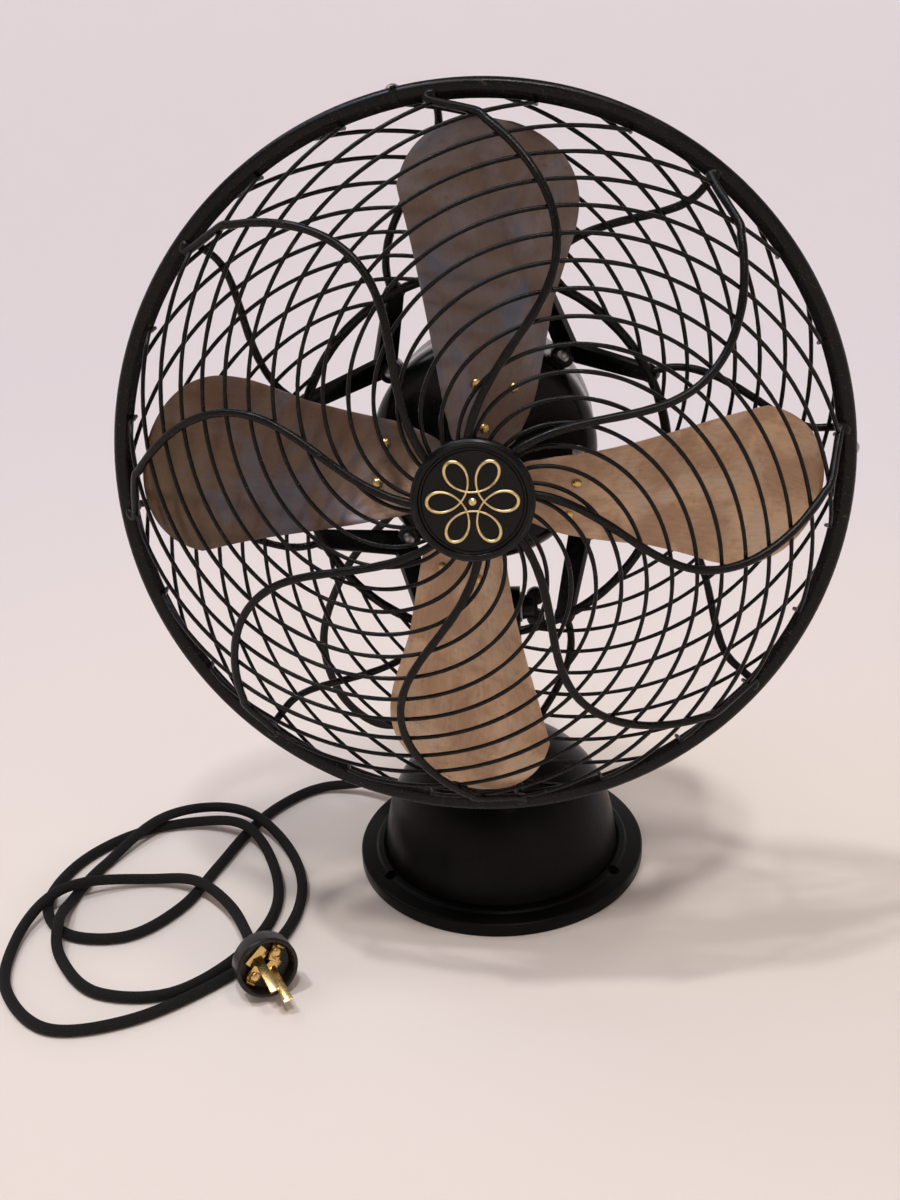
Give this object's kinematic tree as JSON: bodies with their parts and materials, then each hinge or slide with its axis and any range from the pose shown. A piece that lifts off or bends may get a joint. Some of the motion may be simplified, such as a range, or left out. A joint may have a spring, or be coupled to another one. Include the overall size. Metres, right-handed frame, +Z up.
{
  "type": "desk fan",
  "caption": "Antique desk fan with a cast round base, a tilting and swivelling motor head, paddle blades, a spiral wire guard and a braided cord with an old plug.",
  "frame": {"origin": "centre of the base's underside, on the table and on the swivel axis", "axes": "+Z up along the swivel axis; the fan blows towards -Y; +X is on the right of someone who faces the fan's front"},
  "size_m": [0.5859, 0.3322, 0.5807],
  "materials": {
    "black_casting": "glossy black japan over a slightly rough casting",
    "black_japan": "glossy black japan, worn at the edges",
    "black_guard": "black japan with small chips and brown wear",
    "steel": "dull machined steel",
    "spider_iron": "dark cast iron",
    "aged_brass_blade": "old brushed brass gone dull grey-brown",
    "brass": "polished brass",
    "gilt": "worn gilt",
    "bakelite": "dark moulded bakelite",
    "copper_wire": "enamelled copper wire",
    "felt": "dark felt",
    "braid": "black cotton braid",
    "lead_cloth": "dark waxed cotton braid"
  },
  "bodies": {
    "base": {"base_casting": "black_casting", "base_cover": "steel", "felt_ring": "felt", "cover_screws": "steel", "cord_bushing": "bakelite", "speed_coil": "copper_wire", "switch_plate": "bakelite", "switch_contacts": "brass", "swivel_screw": "steel", "supply_cord": "braid", "plug_body": "bakelite", "plug_prongs": "brass", "plug_screws": "brass"},
    "switch": {"switch_arm": "steel", "lever_knob": "bakelite"},
    "neck": {"neck": "black_casting", "stem_nut": "steel", "tilt_bolt": "steel", "tilt_washers": "steel", "lead_bushing": "bakelite", "motor_lead": "lead_cloth"},
    "wing": {"wing_nut": "black_japan"},
    "head": {"motor_rear_shell": "black_casting", "motor_front_shell": "black_casting", "shell_bolts": "steel", "stator_core": "steel", "stator_windings": "copper_wire", "front_bearing": "brass", "rear_bearing": "brass", "oil_cups": "brass", "lead_clamp": "bakelite", "strut_1": "black_japan", "strut_2": "black_japan", "strut_3": "black_japan", "strut_4": "black_japan", "strut_screws": "steel", "rim_band": "black_guard", "rim_screws": "steel", "back_ring": "black_guard", "back_ribs": "black_guard", "back_wires": "black_guard", "front_ribs": "black_guard", "front_wires": "black_guard", "hub_plate": "black_japan", "badge": "black_japan", "badge_ornament": "gilt"},
    "rotor": {"shaft": "steel", "rotor_core": "steel", "thrust_collars": "steel", "fan_spider": "spider_iron", "blade_1": "aged_brass_blade", "blade_2": "aged_brass_blade", "blade_3": "aged_brass_blade", "blade_4": "aged_brass_blade", "rivets": "brass", "spider_screw": "steel"}
  },
  "joints": [
    {"name": "head_swivel", "type": "hinge", "parent": "base", "child": "neck", "pos_m": [0, 0, 0.114], "axis": [0, 0, 1], "range_deg": [-90, 90]},
    {"name": "head_tilt", "type": "hinge", "parent": "neck", "child": "head", "pos_m": [0, 0, 0.211], "axis": [1, 0, 0], "range_deg": [-22, 14], "deforming": ["motor_lead"]},
    {"name": "fan_spin", "type": "hinge", "parent": "head", "child": "rotor", "pos_m": [0, -0.00104, 0.33939], "axis": [0, -0.9903, 0.1392], "continuous": true},
    {"name": "wing_turn", "type": "hinge", "parent": "neck", "child": "wing", "pos_m": [0.0275, 0, 0.211], "axis": [1, 0, 0], "range_deg": [-120, 120]},
    {"name": "speed_switch", "type": "hinge", "parent": "base", "child": "switch", "pos_m": [0, 0, 0.05], "axis": [0, 0, 1], "range_deg": [-24, 24]}
  ]
}
